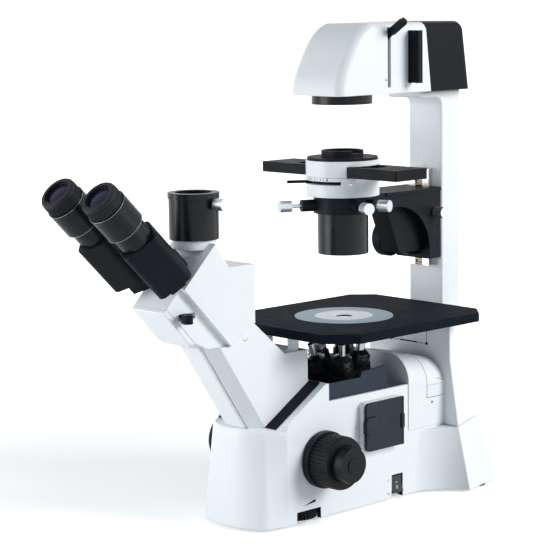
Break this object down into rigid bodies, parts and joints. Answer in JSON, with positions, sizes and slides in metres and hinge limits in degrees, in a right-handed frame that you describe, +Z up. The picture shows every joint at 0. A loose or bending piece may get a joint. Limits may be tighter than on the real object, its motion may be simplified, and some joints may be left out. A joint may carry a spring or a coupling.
{
  "type": "inverted microscope",
  "caption": "Inverted microscope for cell culture: white stand with lamp house above the stage, objectives below it, trinocular head on a front arm and coaxial focus knobs.",
  "frame": {"origin": "on the bench under the middle of the outline", "axes": "+Z up, +X to the right of the user, who sits at -Y; the lamp house and the pillar are at +Y"},
  "size_m": [0.204, 0.5448, 0.5277],
  "materials": {
    "white_paint": "satin white paint",
    "black_paint": "satin black paint",
    "black_plastic": "satin",
    "chrome": "polished",
    "steel": "satin",
    "glass": "clear",
    "white_plastic": "satin",
    "rubber": "matte",
    "mirror": "polished",
    "ceramic": "white ceramic",
    "green_plastic": "translucent green",
    "insert_metal": "matte",
    "brass": "satin"
  },
  "bodies": {
    "stand": {"base_casting": "white_paint", "base_plate": "steel", "rubber_feet": "rubber", "pillar": "white_paint", "arch_cover": "white_plastic", "arm": "white_paint", "head": "white_paint", "front_cover": "white_plastic", "slope_trim": "black_plastic", "stage_plate": "black_paint", "stage_insert": "insert_metal", "insert_disc": "white_plastic", "lamp_shell": "white_plastic", "lamp_rear_cover": "black_plastic", "field_ring": "black_paint", "field_lens": "glass", "lamp_socket": "ceramic", "lamp_bulb": "glass", "collector_lens": "glass", "lamp_mirror": "mirror", "lamp_chassis": "black_paint", "carrier_rail": "steel", "fold_mirror": "mirror", "tube_lens": "glass", "optics_bracket": "black_paint", "photo_tube": "black_paint", "power_inlet": "black_plastic"},
    "carriage": {"nosepiece_carriage": "black_paint"},
    "turret": {"nosepiece_turret": "black_paint", "objective_in_use": "brass", "parked_objectives": "brass"},
    "coarse_drive": {"coarse_sleeve": "steel", "coarse_knobs": "black_plastic"},
    "fine_drive": {"fine_shaft": "steel", "fine_knobs": "black_plastic"},
    "condenser": {"condenser_carrier": "black_paint", "condenser_barrel": "black_paint", "condenser_lens": "glass", "condenser_drum": "white_paint", "condenser_top": "black_paint"},
    "condenser_focus": {"carrier_knob": "black_plastic"},
    "carrier_clamp": {"carrier_clamp": "chrome"},
    "centring_front": {"centring_screw_front": "chrome"},
    "centring_right": {"centring_screw_right": "chrome"},
    "centring_clamp": {"centring_screw_clamp": "chrome"},
    "aperture": {"aperture_lever": "black_plastic"},
    "slider": {"phase_slider": "black_plastic"},
    "iris": {"field_iris": "black_plastic"},
    "filter": {"filter_slider": "black_plastic"},
    "door": {"access_door": "black_plastic"},
    "rocker": {"power_rocker": "green_plastic"},
    "wheel": {"brightness_wheel": "black_plastic"},
    "eyepiece_right": {"eyepiece_arm_right": "black_paint", "eyepiece_tube_right": "black_paint"},
    "eyepiece_left": {"eyepiece_arm_left": "black_paint", "eyepiece_tube_left": "black_paint"},
    "dioptre_right": {"dioptre_ring_right": "rubber"},
    "dioptre_left": {"dioptre_ring_left": "rubber"},
    "light_path": {"light_path_lever": "black_plastic"},
    "photo_clamp": {"photo_clamp": "chrome"}
  },
  "joints": [
    {"name": "focus_travel", "type": "slide", "parent": "stand", "child": "carriage", "axis": [0, 0, 1], "range_m": [-0.007, 0.003]},
    {"name": "turret_turn", "type": "hinge", "parent": "carriage", "child": "turret", "pos_m": [0, 0.10294, 0.05598], "axis": [0.0915, -0.2055, 0.9744], "continuous": true},
    {"name": "coarse_turn", "type": "hinge", "parent": "stand", "child": "coarse_drive", "pos_m": [0, 0.01444, 0.067], "axis": [1, 0, 0], "range_deg": [-41, 18]},
    {"name": "fine_turn", "type": "hinge", "parent": "stand", "child": "fine_drive", "pos_m": [0, 0.01444, 0.067], "axis": [1, 0, 0], "continuous": true},
    {"name": "condenser_travel", "type": "slide", "parent": "stand", "child": "condenser", "axis": [0, 0, 1], "range_m": [-0.01, 0.02]},
    {"name": "condenser_focus_turn", "type": "hinge", "parent": "condenser", "child": "condenser_focus", "pos_m": [0, 0.20894, 0.2775], "axis": [1, 0, 0], "range_deg": [-70, 36]},
    {"name": "carrier_clamp_turn", "type": "hinge", "parent": "condenser", "child": "carrier_clamp", "pos_m": [0.03, 0.22494, 0.3095], "axis": [1, 0, 0], "range_deg": [0, 180]},
    {"name": "centring_front_turn", "type": "hinge", "parent": "condenser", "child": "centring_front", "pos_m": [0, 0.10294, 0.327], "axis": [-0.4226, -0.9063, 0], "range_deg": [-180, 180]},
    {"name": "centring_right_turn", "type": "hinge", "parent": "condenser", "child": "centring_right", "pos_m": [0, 0.10294, 0.327], "axis": [0.9659, 0.2588, 0], "range_deg": [-180, 180]},
    {"name": "centring_clamp_turn", "type": "hinge", "parent": "condenser", "child": "centring_clamp", "pos_m": [0, 0.10294, 0.327], "axis": [0.9397, -0.342, 0], "range_deg": [-180, 180]},
    {"name": "aperture_turn", "type": "hinge", "parent": "condenser", "child": "aperture", "pos_m": [0, 0.10294, 0.3525], "axis": [0, 0, 1], "range_deg": [-35, 70]},
    {"name": "slider_travel", "type": "slide", "parent": "condenser", "child": "slider", "axis": [1, 0, 0], "range_m": [-0.045, 0.045]},
    {"name": "iris_turn", "type": "hinge", "parent": "stand", "child": "iris", "pos_m": [0, 0.13694, 0.485], "axis": [0, 1, 0], "range_deg": [0, 66]},
    {"name": "filter_travel", "type": "slide", "parent": "stand", "child": "filter", "axis": [1, 0, 0], "range_m": [0, 0.06]},
    {"name": "door_swing", "type": "hinge", "parent": "stand", "child": "door", "pos_m": [0.0626, 0.12874, 0.091], "axis": [0, 0, 1], "range_deg": [0, 100]},
    {"name": "rocker_tilt", "type": "hinge", "parent": "stand", "child": "rocker", "pos_m": [0.048, 0.13094, 0.017], "axis": [0, 1, 0], "range_deg": [0, 16]},
    {"name": "wheel_turn", "type": "hinge", "parent": "stand", "child": "wheel", "pos_m": [0.0305, -0.00536, 0.01], "axis": [0, 0, 1], "range_deg": [-135, 135]},
    {"name": "eyepiece_right_swing", "type": "hinge", "parent": "stand", "child": "eyepiece_right", "pos_m": [0, -0.24647, 0.3801], "axis": [0, -0.7071, 0.7071], "range_deg": [-12, 31]},
    {"name": "eyepiece_left_swing", "type": "hinge", "parent": "stand", "child": "eyepiece_left", "pos_m": [0, -0.24647, 0.3801], "axis": [0, -0.7071, 0.7071], "range_deg": [-31, 12]},
    {"name": "dioptre_right_turn", "type": "hinge", "parent": "eyepiece_right", "child": "dioptre_right", "pos_m": [0.032, -0.26006, 0.3665], "axis": [0, -0.7071, 0.7071], "range_deg": [-120, 120]},
    {"name": "dioptre_left_turn", "type": "hinge", "parent": "eyepiece_left", "child": "dioptre_left", "pos_m": [-0.032, -0.26006, 0.3665], "axis": [0, -0.7071, 0.7071], "range_deg": [-120, 120]},
    {"name": "light_path_swing", "type": "hinge", "parent": "stand", "child": "light_path", "pos_m": [0.008, -0.14006, 0.236], "axis": [0, 0, 1], "range_deg": [-4, 20]},
    {"name": "photo_clamp_turn", "type": "hinge", "parent": "stand", "child": "photo_clamp", "pos_m": [0.03, -0.10706, 0.346], "axis": [1, 0, 0], "range_deg": [0, 180]}
  ],
  "couplings": [
    {"joint": "coarse_turn", "follows": "focus_travel", "rad_per_m": 100},
    {"joint": "condenser_focus_turn", "follows": "condenser_travel", "rad_per_m": -58.824},
    {"joint": "eyepiece_left_swing", "follows": "eyepiece_right_swing", "ratio": -1}
  ]
}
